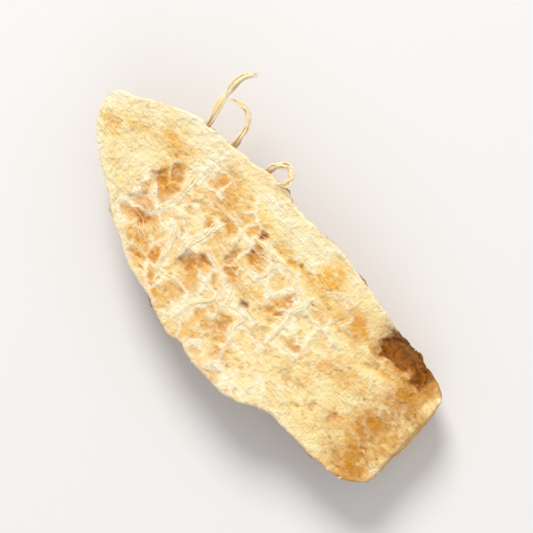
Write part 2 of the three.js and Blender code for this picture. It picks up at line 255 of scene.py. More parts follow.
# Cut face: the pits, strands and tones seen on it, in millimetres, and the shapes of its finer parts
cutFace = {
    "pits": [  # x, y, radius along x, radius along y, depth, darkness
        (-5.05, 0.78, 0.44, 0.36, 0.15, 0.12), (-5.2, 0.15, 0.34, 0.34, 0.14, 0.1),
        (-5.15, -0.9, 0.28, 0.32, 0.11, 0.0), (-4.5, -1.4, 0.32, 0.3, 0.13, 0.1),
        (-3.4, 2.3, 0.5, 0.22, 0.07, 0.0), (-2.05, -1.15, 0.46, 0.34, 0.16, 0.3),
        (-1.6, -0.75, 0.3, 0.24, 0.15, 0.25), (-1.22, 0.3, 0.24, 0.26, 0.12, 0.15),
        (-0.55, 0.9, 0.3, 0.44, 0.11, 0.1), (-0.95, 1.85, 0.2, 0.2, 0.18, 0.6),
        (0.64, -0.7, 0.25, 0.22, 0.18, 0.6), (0.75, -1.5, 0.5, 0.24, 0.08, 0.0),
        (-0.15, -2.1, 0.26, 0.44, 0.05, 0.0), (1.45, 0.15, 0.36, 0.22, 0.06, 0.0),
        (1.7, 0.95, 0.24, 0.36, 0.08, 0.0), (-0.75, -0.15, 0.32, 0.2, 0.1, 0.0),
        (-3.45, 0.7, 0.36, 0.24, 0.09, 0.0), (2.5, -0.95, 0.24, 0.22, 0.07, 0.0),
        (3.65, -1.05, 0.28, 0.28, 0.07, 0.0), (5.3, -1.15, 0.24, 0.24, 0.07, 0.0),
        (6.0, -0.85, 0.22, 0.24, 0.08, 0.0), (4.8, -1.65, 0.2, 0.18, 0.07, 0.0),
    ],
    "strands": [  # start x, y and end x, y
        (-2.4, 0.6, -2.45, -0.9), (-1.5, -0.35, -0.25, -0.6), (-0.25, -0.6, 0.15, -1.05),
        (0.15, -1.05, 1.0, -0.95), (-0.4, -1.0, -0.8, -2.9), (-0.6, 1.75, -0.35, 1.45),
        (-0.35, 1.45, 1.3, 1.5), (1.3, 1.5, 2.1, 0.9), (2.1, 0.9, 2.2, -0.7), (2.2, -0.45, 3.3, -0.4),
        (-1.62, 1.7, -1.55, 0.75), (0.12, 1.3, 0.18, 0.25), (-3.7, 0.42, -3.0, 0.25),
        (-3.6, -0.6, -2.9, -1.5), (-2.9, -1.5, -2.55, -2.5), (-4.35, 0.9, -4.15, -0.5),
        (1.0, -0.95, 1.25, -2.2),
    ],
    "tanPatches": [  # x, y, radius along x, radius along y, strength
        (-7.5, 0.4, 0.45, 0.4, 0.45), (-6.2, 1.35, 0.55, 0.6, 0.35), (-7.2, 0.95, 0.4, 0.3, 0.55),
        (-5.1, 0.2, 0.5, 1.2, 0.5), (-3.0, 1.6, 0.9, 0.7, 0.5), (-0.65, 1.1, 0.6, 0.7, 0.8),
        (-4.4, -1.3, 0.8, 0.7, 0.6), (-3.6, -2.1, 0.7, 0.35, 0.5), (-3.3, -0.9, 0.3, 0.4, 0.5),
        (-1.8, -1.2, 0.8, 0.6, 0.7), (0.65, -1.5, 0.45, 0.24, 1.0), (1.3, -2.8, 0.25, 0.7, 0.7),
        (1.6, 0.7, 0.35, 0.6, 0.45), (2.1, 2.95, 0.5, 0.4, 1.4), (4.6, 0.3, 0.5, 0.7, 0.5),
        (3.0, -0.15, 0.7, 0.2, 0.4), (7.4, 0.25, 0.6, 0.4, 0.7), (7.6, 1.8, 0.6, 0.6, 0.8),
        (8.1, -1.6, 0.6, 0.5, 0.8), (7.7, -0.95, 0.4, 0.4, 0.6), (6.0, -0.85, 0.5, 0.5, 0.4),
        # The last patch here, at 4.2 and 2.5, is partly the flesh's tan and partly a painted shadow of a
        # neighbouring piece
        (-1.9, -2.95, 0.7, 0.4, 0.75), (0.5, -3.0, 0.4, 0.35, 0.5), (4.2, 2.5, 1.0, 0.55, 0.75),
    ],
    "palePatches": [  # x, y, radius along x, radius along y, strength
        (-8.6, 0.8, 0.45, 0.4, 1.0), (-6.4, 0.0, 0.6, 0.9, 0.9), (-4.35, 1.8, 0.5, 0.9, 1.2),
        (-1.6, 2.85, 0.8, 0.35, 0.9), (0.1, 2.7, 0.9, 0.45, 0.9), (1.3, 2.9, 0.3, 0.5, 0.5),
        (-0.95, -2.45, 0.45, 0.6, 0.7), (2.2, 0.5, 0.25, 0.9, 0.5), (0.2, 0.8, 0.25, 0.6, 0.6),
        (2.9, -2.2, 0.7, 0.5, 0.8), (4.0, 0.9, 0.45, 0.6, 0.6), (4.9, -0.4, 0.5, 0.35, 0.6),
        (5.7, 1.45, 1.2, 0.22, 0.6), (5.3, -2.25, 1.6, 0.25, 0.7), (0.3, -0.85, 0.5, 0.35, 0.6),
        (-2.2, -0.3, 0.4, 0.6, 0.45), (-5.9, -1.7, 0.7, 0.4, 0.5), (-5.9, 2.5, 0.8, 0.3, 0.6),
        (2.1, -3.0, 0.5, 0.35, 0.8), (6.9, 1.0, 0.6, 0.4, 0.6), (-7.3, -0.5, 0.6, 0.4, 0.6),
        (-4.8, -0.5, 0.4, 0.4, 0.6), (-3.5, 1.0, 0.35, 0.4, 0.45), (2.5, -1.2, 0.7, 0.6, 0.5),
        (-5.6, -1.15, 0.4, 0.4, 0.6), (-5.85, 0.1, 0.3, 0.5, 0.4), (2.9, 0.8, 0.4, 0.4, 0.45),
        (-7.1, 1.5, 0.5, 0.3, 0.4), (-1.9, -1.75, 0.4, 0.3, 0.3), (1.6, -0.7, 0.4, 0.4, 0.35),
        (-2.7, -1.0, 0.35, 0.35, 0.35), (2.85, 2.25, 0.45, 0.25, 0.5),
    ],
    "yellowPatches": [  # x, y, radius along x, radius along y, strength
        (0.2, 1.9, 0.7, 0.25, 0.9), (2.0, 2.75, 0.5, 0.6, 1.3), (2.7, 1.95, 0.6, 0.3, 0.45),
        (-2.9, 2.1, 0.8, 0.25, 0.7), (-3.2, 2.55, 0.25, 0.25, 0.6), (-6.4, 1.5, 0.5, 0.6, 0.4),
        (0.7, -1.5, 0.5, 0.25, 0.8), (-0.15, -2.1, 0.25, 0.45, 0.7), (1.25, -2.9, 0.22, 0.6, 0.9),
        (8.0, -1.8, 0.4, 0.3, 0.6), (-5.1, 0.3, 0.4, 0.9, 0.5), (-2.9, -2.7, 0.6, 0.3, 0.5),
    ],
    "tanAndShadePatches": [  # darker tan towards the cross-cut, the flesh's own tone and painted shade: x, y, radius along x, radius along y, strength
        (7.35, 0.1, 0.55, 0.45, 0.5), (7.9, -0.95, 0.55, 0.5, 0.9), (7.7, 1.9, 0.6, 0.5, 0.5),
        (6.0, -0.95, 0.35, 0.3, 0.35), (8.1, -1.7, 0.4, 0.3, 0.3),
    ],
    "stir": ((1.5, 0.2), (4.3, 0.09), (9.0, 0.035)),  # waves a millimetre and reach
    "stirSeed": 3,
    "toneStirSeed": 5,
    "edgeFade": (0.02, 0.18),
    "heightFade": (-0.02, 0.08),
    "core": ((-6.2, -5.3), (2.2, 4.8)),  # where the open, pitted core fades in and out along x
    "closed": 0.22,  # how open the flesh is outside the core
    "outerFlesh": (0.55, 1.25),  # smooth pale band along the far edge, fading over these depths
    "outerSway": 0.2,
    "outerDense": 0.8,
    "outerCalm": 0.4,
    "pitWall": (0.25, 1.35),  # from and to, in radii
    "brokenOver": (-0.45, 0.1),
    "pitBreaks": (0.85, 7.0),  # how much a pit breaks the net, and its gain
    "wideCell": (1.1, 0.74, 21),  # length, width and seed
    "fineCell": (0.5, 0.34, 27),
    "wideSunk": ((0.25, 0.95), 0.25),  # which cells are sunk, and the width of their walls
    "fineSunk": ((0.5, 1.0), 0.3),
    "lineWidth": (0.09, 0.08),  # as a part of a cell
    "fineGap": 0.6,
    "tissueWidth": 0.24,
    "strandWidth": 0.085,
    "sheathWidth": 0.19,  # pale flesh along a strand
    "poreCell": (0.36, 0.27, 33),
    "poreWall": (0.1, 0.34),
    "poreShare": (0.78, 0.88),
    "poreLeft": 0.25,  # share of the pores outside the core
    "poreEnd": (3.5, 5.5),
    "fibreThin": 16,
    "fibreOver": (-0.1, 0.35),
    "noise": {  # waves along x and y, level, seed and octaves
        "outer": (1.2, 1.2, 9.0, 12, 1),
        "broken": (1.1, 1.3, 2.0, 24, 2),
        "fibre": (0.5, 4.4, 0.0, 41, 1),
        "fibrePatch": (0.9, 1.6, 6.0, 43, 2),
        "grain": (1.8, 5.2, 0.0, 45, 2),
        "fleck": (5.5, 6.5, 0.0, 50, 2),
        "chip": (1.3, 1.6, 3.0, 53, 4),
        "wrinkle": (0.9, 2.6, 5.0, 57, 3),
        "drift": (0.9, 1.3, 3.0, 60, 3),
        "stain": (1.3, 1.3, 2.0, 64, 3),
        "starch": (1.1, 1.6, 7.0, 66, 3),
        "rim": (1.5, 1.5, 4.0, 68, 2),
        "fineStainAndShade": (4.2, 5.0, 2.0, 69, 2),
    },
    "heights": {  # millimetres for each full field
        "wideNet": 0.018, "fineNet": 0.012, "sunk": -0.065, "fineSunk": -0.026, "pit": -1.0, "pore": -0.05,
        "strand": 0.02, "fibre": 0.025, "grain": 0.035, "fleck": 0.03, "groove": -0.08, "bareFloor": -1.0,
    },
    "groove": {  # along the outside of the core
        "y": 1.72,
        "span": ((-2.4, -1.4), (6.2, 7.2)),  # where it fades in and out along x
        "width": 0.16,
        "sway": 0.12,
        "least": 0.3,  # share of it that is left where the net is broken
    },
    "chip": {  # far corner where the flesh has come off the rind
        "x": 5.1,
        "y": 2.45,
        "rise": (0.9, 7.2, 8.6),  # height, and x from and to
        "dip": (0.25, 5.5, 0.35),  # depth, x and width
        "steep": 0.9,
        "ragged": 0.6,
        "edge": (-0.06, 0.2),
        "fade": (0.85, 7.4, 8.2),  # share, and x from and to
        "halo": (-0.55, 0.0),
        "depth": 0.07,
        "rough": (0.1, 3.0),  # height of its wrinkles and how sharp they are
    },
    "rim": {  # painted highlight along the edge of the cut face
        "from": 0.03,
        "width": 0.2,
        "tip": (0.26, -4.0, -1.5),  # wider by this up to the first x, and no wider after the second
        "end": (0.15, 3.0, 4.5),
        "ragged": 0.09,
        "endFade": 0.8,
        "patchy": (0.75, 0.7),  # middle and spread
    },
    "endSpan": (4.4, 7.4),  # towards the cross-cut
    "calm": (0.4, -3.2, 0.4),  # share, and x from and to
    "starch": (0.8, 0.7),  # middle and spread
    "stainAndShadeSpan": (6.2, 7.6),
    "stain": (0.5, 0.9, 0.8),  # darker tan towards the cross-cut, the flesh's own tone and painted shade where the end turns from the light: middle, spread and fine spread
    "lessWhite": (0.45, 0.7),  # shares of the white that the end and the yellow take away
    "tones": {  # weight of each field in each mask
        "tan": {
            "everywhere": 0.06, "drift": 0.42, "endDrift": 0.2, "core": 0.24, "end": 0.3,
            "tanPatches": 1.0, "calmSunk": 0.6, "calmFine": 0.25, "wideNet": -0.3, "starch": -0.75,
            "palePatches": -0.7, "sheath": -0.5, "halo": 0.5,
        },
        "pit": {"pit": 6.0, "pore": 0.5, "calmSunk": 0.3, "calmBoth": 0.4},
        "dark": {"dark": 1.0},
        "band": {"groove": 0.6, "yellowPatches": 1.0},
        "bare": {"bare": 1.0},
        # Darker tan towards the cross-cut: the flesh's own tone and painted shade
        "dusk": {"stain": 1.0, "tanAndShadePatches": 1.0, "palePatches": -0.4, "halo": 0.5},
        "strand": {
            "strand": 1.0, "sheath": 0.65, "wideNet": 0.75, "tissue": 0.5, "fineNet": 0.3, "fibre": 0.4,
            "starch": 0.35, "palePatches": 0.5,
        },
    },
}


# The groove: a bell across a line that sways as a sine, faded at both ends and where the net is broken
def coreGroove(x, wy, broken):
    line = cutFace["groove"]
    startSpan, stopSpan = line["span"]
    groove = bump(wy - line["y"] - line["sway"] * np.sin(x), line["width"])
    groove = groove * smoothStep(x, *startSpan) * (1.0 - smoothStep(x, *stopSpan))
    return groove * (line["least"] + (1.0 - line["least"]) * broken)


# The chip: bare where the lesser distance past its two sides, made ragged by noise, is above zero, with a
# halo round it and a wrinkled floor, which is highest where a noise is zero
def chippedCorner(x, y, wx, wy):
    chip, noise = cutFace["chip"], cutFace["noise"]
    rise, *riseSpan = chip["rise"]
    dip, dipAt, dipWidth = chip["dip"]
    fade, *fadeSpan = chip["fade"]
    rough, sharp = chip["rough"]
    side = chip["y"] + rise * smoothStep(x, *riseSpan) - dip * bump(x - dipAt, dipWidth)
    inside = np.minimum(wy - side, chip["steep"] * (wx - chip["x"]))
    inside = inside + chip["ragged"] * roughNoise(x, y, noise["chip"])
    bare = smoothStep(inside, *chip["edge"]) * (1.0 - fade * smoothStep(wx, *fadeSpan))
    wrinkle = np.abs(roughNoise(wx, wy, noise["wrinkle"]))
    bareFloor = bare * (chip["depth"] - rough * (1.0 - sharp * wrinkle))
    return bare, bareFloor, smoothStep(inside, *chip["halo"])


# Fields of the cut face, most from 0 to 1: pits, the sunken cells of a wide and a fine net and the lines
# between them, broken by noise, strands with pale sheaths, pores, thin fibres where a stretched noise is
# zero, a grain, the groove and the chip. The net is open in the core and closed towards the edge.
def faceFields(x, y, wx, wy, edge, farEdge):
    face, noise = cutFace, cutFace["noise"]
    inner = smoothStep(edge, *face["edgeFade"])
    farDepth = farEdge + face["outerSway"] * roughNoise(x, y, noise["outer"])
    outer = 1.0 - smoothStep(farDepth, *face["outerFlesh"])
    coreStart, coreStop = face["core"]
    core = smoothStep(wx, *coreStart) * (1.0 - smoothStep(wx, *coreStop))
    core = core * (1.0 - face["outerDense"] * outer)
    openness = (face["closed"] + (1.0 - face["closed"]) * core) * inner

    pit, dark = np.zeros(x.shape), np.zeros(x.shape)
    for px, py, rx, ry, deep, darkness in face["pits"]:
        hole = 1.0 - smoothStep(np.hypot((wx - px) / rx, (wy - py) / ry), *face["pitWall"])
        pit = np.maximum(pit, deep * hole)
        dark = np.maximum(dark, darkness * hole)

    pitBreaks, pitGain = face["pitBreaks"]
    broken = smoothStep(roughNoise(x, y, noise["broken"]), *face["brokenOver"])
    broken = broken * (1.0 - pitBreaks * np.clip(pitGain * pit, 0.0, 1.0))
    _, wideBorder, wideNumber = cellNet(wx, wy, face["wideCell"])
    _, fineBorder, fineNumber = cellNet(wx, wy, face["fineCell"])
    (wideSpan, wideWall), (fineSpan, fineWall) = face["wideSunk"], face["fineSunk"]
    wideLine, fineLine = face["lineWidth"]

    poreNear, _, poreNumber = cellNet(wx, wy, face["poreCell"])
    pore = (1.0 - smoothStep(poreNear, *face["poreWall"])) * smoothStep(poreNumber, *face["poreShare"])
    inCore = face["poreLeft"] + (1.0 - face["poreLeft"]) * core
    fibre = (1.0 - np.abs(roughNoise(wx, wy, noise["fibre"]))) ** face["fibreThin"]
    fibrePatch = smoothStep(roughNoise(x, y, noise["fibrePatch"]), *face["fibreOver"])
    strandAway = strandDistance(wx, wy, face["strands"])
    bare, bareFloor, halo = chippedCorner(x, y, wx, wy)
    return {
        "everywhere": 1.0,
        "outer": outer,
        "core": core,
        "pit": pit,
        "dark": dark,
        "sunk": smoothStep(wideNumber, *wideSpan) * (1.0 - bump(wideBorder, wideWall)) * openness,
        "fineSunk": smoothStep(fineNumber, *fineSpan) * (1.0 - bump(fineBorder, fineWall)) * openness,
        "wideNet": bump(wideBorder, wideLine) * broken * openness,
        "fineNet": bump(fineBorder, fineLine) * (1.0 - face["fineGap"] * broken) * openness,
        "tissue": bump(wideBorder, face["tissueWidth"]) * broken * openness,
        "strand": bump(strandAway, face["strandWidth"]) * inner,
        "sheath": bump(strandAway, face["sheathWidth"]) * inner,
        "pore": pore * inner * np.maximum(inCore, smoothStep(x, *face["poreEnd"])),
        "fibre": fibre * inner * fibrePatch,
        "grain": roughNoise(wx, wy, noise["grain"]) * (1.0 - face["outerCalm"] * outer),
        "fleck": roughNoise(x, y, noise["fleck"]),
        "groove": coreGroove(x, wy, broken),
        "bare": bare,
        "bareFloor": bareFloor,
        "halo": halo,
    }


# The painted highlight along the rim, pale: 1 at the edge and 0 a rim's width in, patchy by noise and faded
# at the cross-cut
def paintedRimHighlight(x, y, edge, fleck, end):
    rim = cutFace["rim"]
    tipWider, *tipSpan = rim["tip"]
    endWider, *endSpan = rim["end"]
    middle, spread = rim["patchy"]
    width = rim["width"] + tipWider * (1.0 - smoothStep(x, *tipSpan)) + endWider * smoothStep(x, *endSpan)
    worn = 1.0 - smoothStep(edge + rim["ragged"] * fleck, rim["from"], width)
    patchy = middle + spread * roughNoise(x, y, cutFace["noise"]["rim"])
    return worn * (1.0 - rim["endFade"] * end) * patchy


# Masks that colour the cut face: sums of the fields by their weights, kept between 0 and 1, with patches
# that only the finer noises stir, and less white towards the cross-cut and where it is yellow
def faceMasks(x, y, wx, wy, edge, parts):
    face, noise = cutFace, cutFace["noise"]
    end = smoothStep(x, *face["endSpan"])
    drift = roughNoise(x, y, noise["drift"])
    calmShare, *calmSpan = face["calm"]
    calm = 1.0 - calmShare * smoothStep(wx, *calmSpan)
    starch, starchSpread = face["starch"]
    starch = starch + starchSpread * roughNoise(wx, wy, noise["starch"])
    # Towards the cross-cut: the flesh's own darker tone and painted shade, made uneven by noise
    stain, stainSpread, fineSpread = face["stain"]
    stain = stain + stainSpread * roughNoise(x, y, noise["stain"])
    stain = stain + fineSpread * roughNoise(x, y, noise["fineStainAndShade"])
    field = {
        **parts,
        "end": end,
        "drift": drift,
        "endDrift": end * drift,
        "calmSunk": calm * parts["sunk"],
        "calmFine": calm * parts["fineSunk"],
        "calmBoth": calm * parts["sunk"] * parts["fineSunk"],
        "starch": parts["outer"] * (1.0 - end) * starch,
        "stain": smoothStep(wx, *face["stainAndShadeSpan"]) * stain,
    }
    stirX, stirY = stirred(x, y, face["stir"][1:], face["toneStirSeed"])
    for name in ("tanPatches", "palePatches", "yellowPatches", "tanAndShadePatches"):
        field[name] = ovalPatches(stirX, stirY, face[name])
    masks = {name: weighed(field, weights) for name, weights in face["tones"].items()}
    endLess, yellowLess = face["lessWhite"]
    yellow = np.clip(masks["band"], 0.0, 1.0)
    masks["strand"] = masks["strand"] * (1.0 - endLess * end) * (1.0 - yellowLess * yellow)
    # Painted highlight: pale along the edge of the cut face
    masks["rim"] = paintedRimHighlight(x, y, edge, parts["fleck"], end)
    return {name: np.clip(mask, 0.0, 1.0) for name, mask in masks.items()}


# Relief of the cut face, the sum of its fields by their heights, and the masks that colour it
def faceRelief(x, y, edge, farEdge):
    wx, wy = stirred(x, y, cutFace["stir"], cutFace["stirSeed"])
    parts = faceFields(x, y, wx, wy, edge, farEdge)
    height = weighed(parts, cutFace["heights"]) * smoothStep(edge, *cutFace["heightFade"])
    return height, faceMasks(x, y, wx, wy, edge, parts)


# Rind: lengthwise folds, ring scars and a crinkled cork
rind = {
    "folds": 11,
    "foldSway": (0.55, 0.8, 2.0),  # reach, waves along x and turns with the angle
    "foldKink": (0.6, 2.3),
    "foldRough": 0.5,
    "bulges": ((1.9, 3.0), (1.3, -2.0)),  # waves along x and turns of two sines
    "striaSway": (0.4 / 17.0, 2.1),  # reach in radians and waves along x
    "ringsAt": (-5.7, -1.6, 2.9, 6.6),
    "ring": (0.17, 0.34),  # height and width
    "ringSway": (0.25, 2.0),
    "fray": 0.12,
    "lip": (0.07, 0.12, 0.09),  # height, place behind the ring and width of its ragged lip
    "gully": (0.06, 0.34, 0.1),
    "scarWidth": 0.13,
    "scarOver": (-0.5, 0.4),
    "heights": {"fold": 0.11, "bulge": 0.06, "stria": 0.035, "crease": 0.05, "crinkle": 0.03},
    # Tones follow the relief: lower in the folds' grooves for painted shade, higher on their crests for
    # painted highlight
    "tones": {"everywhere": 0.5, "fold": 0.24, "crease": 0.16, "stria": 0.16, "crinkle": 0.25},
    "noise": {  # waves along x and with the angle, level, seed and octaves
        "fold": (0.8, 3.0, 0.0, 70, 1),
        "crease": (0.9, 9.0, 2.0, 74, 3),
        "crinkle": (2.2, 13.0, 4.0, 78, 3),
        "fray": (2.0, 9.0, 6.0, 82, 1),
        "scar": (0.8, 3.0, 8.0, 84, 2),
        "stria": (0.6, 17.0, 3.0, 86, 2),
    },
}


# Height out of the rind at an angle below the cut face: a sine of the angle for the folds, which sway
# along x, low bulges, creases where stretched noise is zero, and a bell at each ring scar with a lip and
# a gully
def rindRelief(x, angle):
    noise = rind["noise"]
    swayReach, swayWaves, swayTurns = rind["foldSway"]
    kinkReach, kinkWaves = rind["foldKink"]
    striaReach, striaWaves = rind["striaSway"]
    sway = swayReach * np.sin(swayWaves * x + swayTurns * angle) + kinkReach * np.sin(kinkWaves * x)
    sway = sway + rind["foldRough"] * roughNoise(x, angle, noise["fold"])
    firstSine, secondSine = (np.sin(waves * x + turns * angle) for waves, turns in rind["bulges"])
    striaAngle = angle + striaReach * np.sin(striaWaves * x)
    field = {
        "everywhere": 1.0,
        "fold": np.sin(rind["folds"] * angle + sway),
        "bulge": firstSine * secondSine,
        "crease": 1.0 - 2.0 * np.abs(roughNoise(x, angle, noise["crease"])),
        "stria": 1.0 - 2.0 * np.abs(roughNoise(x, striaAngle, noise["stria"])),
        "crinkle": roughNoise(x, angle, noise["crinkle"]),
    }
    height = weighed(field, rind["heights"])
    fray = rind["fray"] * roughNoise(x, angle, noise["fray"])
    ring, ringWidth = rind["ring"]
    ringReach, ringTurns = rind["ringSway"]
    lip, lipAt, lipWidth = rind["lip"]
    gully, gullyAt, gullyWidth = rind["gully"]
    scar = np.zeros(x.shape)
    for at in rind["ringsAt"]:
        away = x - at - ringReach * np.sin(ringTurns * angle + at)
        height = height + ring * bump(away, ringWidth) + lip * bump(away + fray - lipAt, lipWidth)
        height = height - gully * bump(away + fray - gullyAt, gullyWidth)
        scar = np.maximum(scar, bump(away + fray - gullyAt, rind["scarWidth"]))
    scar = scar * smoothStep(roughNoise(x, angle, noise["scar"]), *rind["scarOver"])
    return height, {"fold": np.clip(weighed(field, rind["tones"]), 0.0, 1.0), "scar": scar}


# The skin as a grid: rows from the tip along the body, columns round each section. A section runs over
# the cut face, then back under it on a squared half ellipse, and is flattened where it rests.
def sliceSurface():
    form = sliceForm
    x, near, far, along = (a[:, None] for a in outlineColumns(form["columns"]))
    ring = form["ringPoints"]
    facePoints = int(round(form["faceShare"] * ring))
    scale = (far - near) / 2.0 / form["halfWidthMax"]
    (nearLevel, nearSeed), (farLevel, farSeed) = form["edgeNoise"]
    for k, (fine, reach) in enumerate(form["edgeRough"]):
        ragged = reach * np.minimum(1.0, scale / form["raggedFrom"])
        near = near + ragged * roughNoise(x, 0.0, (fine, 0.0, nearLevel, nearSeed + k, 2))
        far = far + ragged * roughNoise(x, 0.0, (fine, 0.0, farLevel, farSeed + k, 2))
    middle, half = (near + far) / 2.0, (far - near) / 2.0
    base = form["bellyDepth"] - form["restCut"]

    acrossFace = np.linspace(-1.0, 1.0, facePoints + 1)[None, :]
    angle = np.linspace(0.0, math.pi, ring - facePoints + 1)[None, 1:-1]
    turn, under = np.cos(angle), np.sin(angle)
    acrossRind = np.sign(turn) * np.abs(turn) ** form["bellyFullness"]
    across = np.concatenate([acrossFace, acrossRind], axis=1)
    onFace = np.arange(ring) <= facePoints

    y = middle + half * across
    flatX = x + 0.0 * y
    edge = half * (1.0 - np.abs(across))
    edge = np.minimum(edge, form["tipEdge"] * (flatX - x[0]))
    edge = np.minimum(edge, x[-1] - flatX)
    roundHeight, roundWidth = form["edgeRound"]
    worn = roundHeight * np.sqrt(scale) * (1.0 - smoothStep(edge, -roundWidth, roundWidth))
    z = base + faceWarp(flatX, y, across, scale) - worn

    faceHeight, onFaceMasks = faceRelief(flatX, y, edge, half * (1.0 - across))
    z = z + np.where(onFace, faceHeight, 0.0)

    below = under ** form["bellyFullness"]
    rindHeight, rindMasks = rindRelief(x + 0.0 * angle, angle + 0.0 * x)
    out = (rindHeight - form["rindInset"]) * np.minimum(1.0, form["rindFade"] * below) * scale
    y[:, facePoints + 1:] += out * turn
    z[:, facePoints + 1:] -= form["bellyDepth"] * scale ** form["bellyTaper"] * below + out * under
    z = np.maximum(z, 0.0)
    slant, slantPower = form["endSlant"]
    body = np.stack([flatX - slant * across * along ** slantPower, y, z], axis=2)

    masks = {name: np.where(onFace, mask, 0.0) for name, mask in onFaceMasks.items()}
    masks["bare"] = np.where(onFace, onFaceMasks["bare"], 1.0)
    for name, mask in rindMasks.items():
        masks[name] = np.concatenate([np.zeros((len(x), facePoints + 1)), mask], axis=1)
    # Painted shading: above a half in the hollows of the relief and below it on the crests, for painted shade
    # and painted highlights
    relief = np.concatenate([faceHeight[:, :facePoints + 1], rindHeight], axis=1)
    rounds, gain = form["paintedShading"]
    masks["paintedShading"] = np.clip(0.5 + gain * (softened(relief, rounds) - relief), 0.0, 1.0)
    return body, masks, facePoints


# Cross-cut end: how rough it is, the bundles and core line that show in it, and its tones
crossEnd = {
    "rows": 32,
    "bulge": 0.06,
    "edgeFade": 6.0,  # how fast the roughness grows from the edge
    "bundleCell": (0.36, 0.32, 91),  # length, width and seed
    "bundleWidth": 0.2,
    "bundleShare": (0.4, 0.7),
    "coarse": (1.6, 1.6, 7.0, 94, 3),  # waves along y and z, level, seed and octaves
    "fine": (7.0, 7.0, 9.0, 97, 2),
    "coreAt": (0.34, 0.14, 0.03),  # part of the way in, sway and width
    "coreOver": (-0.5, 0.2),
    # Painted shade where the coarse relief is low, and painted highlight where the fine relief is high
    "hollow": (0.0, 0.7),
    "peakHighlight": (0.1, 0.7),
    "skin": (0.02, 0.1),  # the rind's edge, fading over these parts of the way in
    "heights": {"coarse": 0.1, "fine": 0.05, "bundle": 0.04, "coreRing": -0.05},
    "tones": {
        # Tones: painted shade in the hollows, as pit tone and shading, and painted highlight on the peaks, as
        # pale strand tone
        "pit": {"hollow": 0.5, "coreRing": 0.5},
        "dark": {},
        "strand": {"bundle": 0.4, "peakHighlight": 0.2},
        "band": {"coreRing": 0.6},
        "rim": {},
        "tan": {"everywhere": 0.6, "coarse": 0.5},
        "bare": {"skin": 1.0},
        # The cross-cut: its own darker tan and painted shade
        "dusk": {"everywhere": 0.4},
        "fold": {"everywhere": 0.5},
        "scar": {},
        "paintedShading": {"everywhere": 0.5, "coarse": -0.4, "coreRing": 0.3, "fine": -0.3},
    },
}


# The cross-cut: rings that shrink from the last section to its middle, moved along x by a coarse and a
# fine noise, out at the ends of the fibre bundles and in along the line round the core
def crossCut(lastRing, facePoints):
    end = crossEnd
    inward = np.linspace(0.0, 1.0, end["rows"] + 1)[1:, None]
    centre = np.array([lastRing[:, 0].max() + end["bulge"], lastRing[:, 1].mean(), 0.0])
    centre[2] = (sliceForm["bellyDepth"] - sliceForm["restCut"]) / 2.0
    points = lastRing[None] + inward[:, :, None] * (centre - lastRing)[None]
    y, z = points[..., 1], points[..., 2]
    bundleNear, _, number = cellNet(y, z, end["bundleCell"])
    coarse = roughNoise(y, z, end["coarse"])
    fine = roughNoise(y, z, end["fine"])
    coreAt, coreSway, coreWidth = end["coreAt"]
    coreAway = inward - coreAt - coreSway * coarse
    onRind = np.arange(len(lastRing)) > facePoints
    field = {
        "everywhere": 1.0,
        "coarse": coarse,
        "fine": fine,
        "bundle": bump(bundleNear, end["bundleWidth"]) * smoothStep(number, *end["bundleShare"]),
        "coreRing": bump(coreAway, coreWidth) * smoothStep(fine, *end["coreOver"]),
        "hollow": smoothStep(-coarse, *end["hollow"]),
        "peakHighlight": smoothStep(fine, *end["peakHighlight"]),
        "skin": (1.0 - smoothStep(inward, *end["skin"])) * onRind,
    }
    points[..., 0] += np.minimum(1.0, end["edgeFade"] * inward) * weighed(field, end["heights"])
    points[-1] = points[-1].mean(axis=0)
    blank = np.zeros(y.shape)
    masks = {name: np.clip(blank + weighed(field, tone), 0.0, 1.0) for name, tone in end["tones"].items()}
    return points, masks


# Closed skins from grids of rings whose first and last rings have shrunk to a point: a fan of triangles,
# quads between the rings, and a fan. Each skin's numbers follow on from those of the skin before it.
def ringMesh(name, skins):
    count, rows, ring = skins.shape[:3]
    points = np.concatenate([skins[:, :1, 0], skins[:, 1:-1].reshape(count, -1, 3), skins[:, -1:, 0]], axis=1)
    index = 1 + np.arange((rows - 2) * ring).reshape(rows - 2, ring)
    around = np.roll(index, -1, axis=1)
    firstFan = np.stack([np.zeros(ring, int), index[0], around[0]], axis=1)
    quads = np.stack([index[:-1], index[1:], around[1:], around[:-1]], axis=2).reshape(-1, 4)
    lastFan = np.stack([index[-1], np.full(ring, points.shape[1] - 1), around[-1]], axis=1)
    start = points.shape[1] * np.arange(count)[:, None, None]
    faces = []
    for part in (firstFan, quads, lastFan):
        faces += (part[None] + start).reshape(-1, part.shape[1]).tolist()
    mesh = bpy.data.meshes.new(name)
    mesh.from_pydata((points.reshape(-1, 3) * millimetre).tolist(), [], faces)
    mesh.update()
    return mesh


# One value for each point of a skin, as an attribute that its material reads
def pointMask(mesh, name, grid):
    values = np.concatenate([grid[:1, 0], grid[1:-1].ravel(), grid[-1:, 0]]).astype(np.float32)
    mesh.attributes.new(name, "FLOAT", "POINT").data.foreach_set("value", values)


# A smooth-shaded object that rides the slice's body
def showPiece(name, mesh, materials):
    piece = bpy.data.objects.new(name, mesh)
    bpy.context.scene.collection.objects.link(piece)
    for material in materials:
        mesh.materials.append(material)
    mesh.polygons.foreach_set("use_smooth", np.ones(len(mesh.polygons), bool))
    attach(piece, "root")
    return piece


# Points moved so that the middle of the resting spot is the origin
def fromRest(points):
    return points - np.array([*sliceForm["restMiddle"], 0.0])


# Linear colour from the red, green and blue of a screen, by the screen's own curve
def paint(red, green, blue):
    parts = [channel / 255.0 for channel in (red, green, blue)]
    return tuple(p / 12.92 if p <= 0.04045 else ((p + 0.055) / 1.055) ** 2.4 for p in parts) + (1.0,)


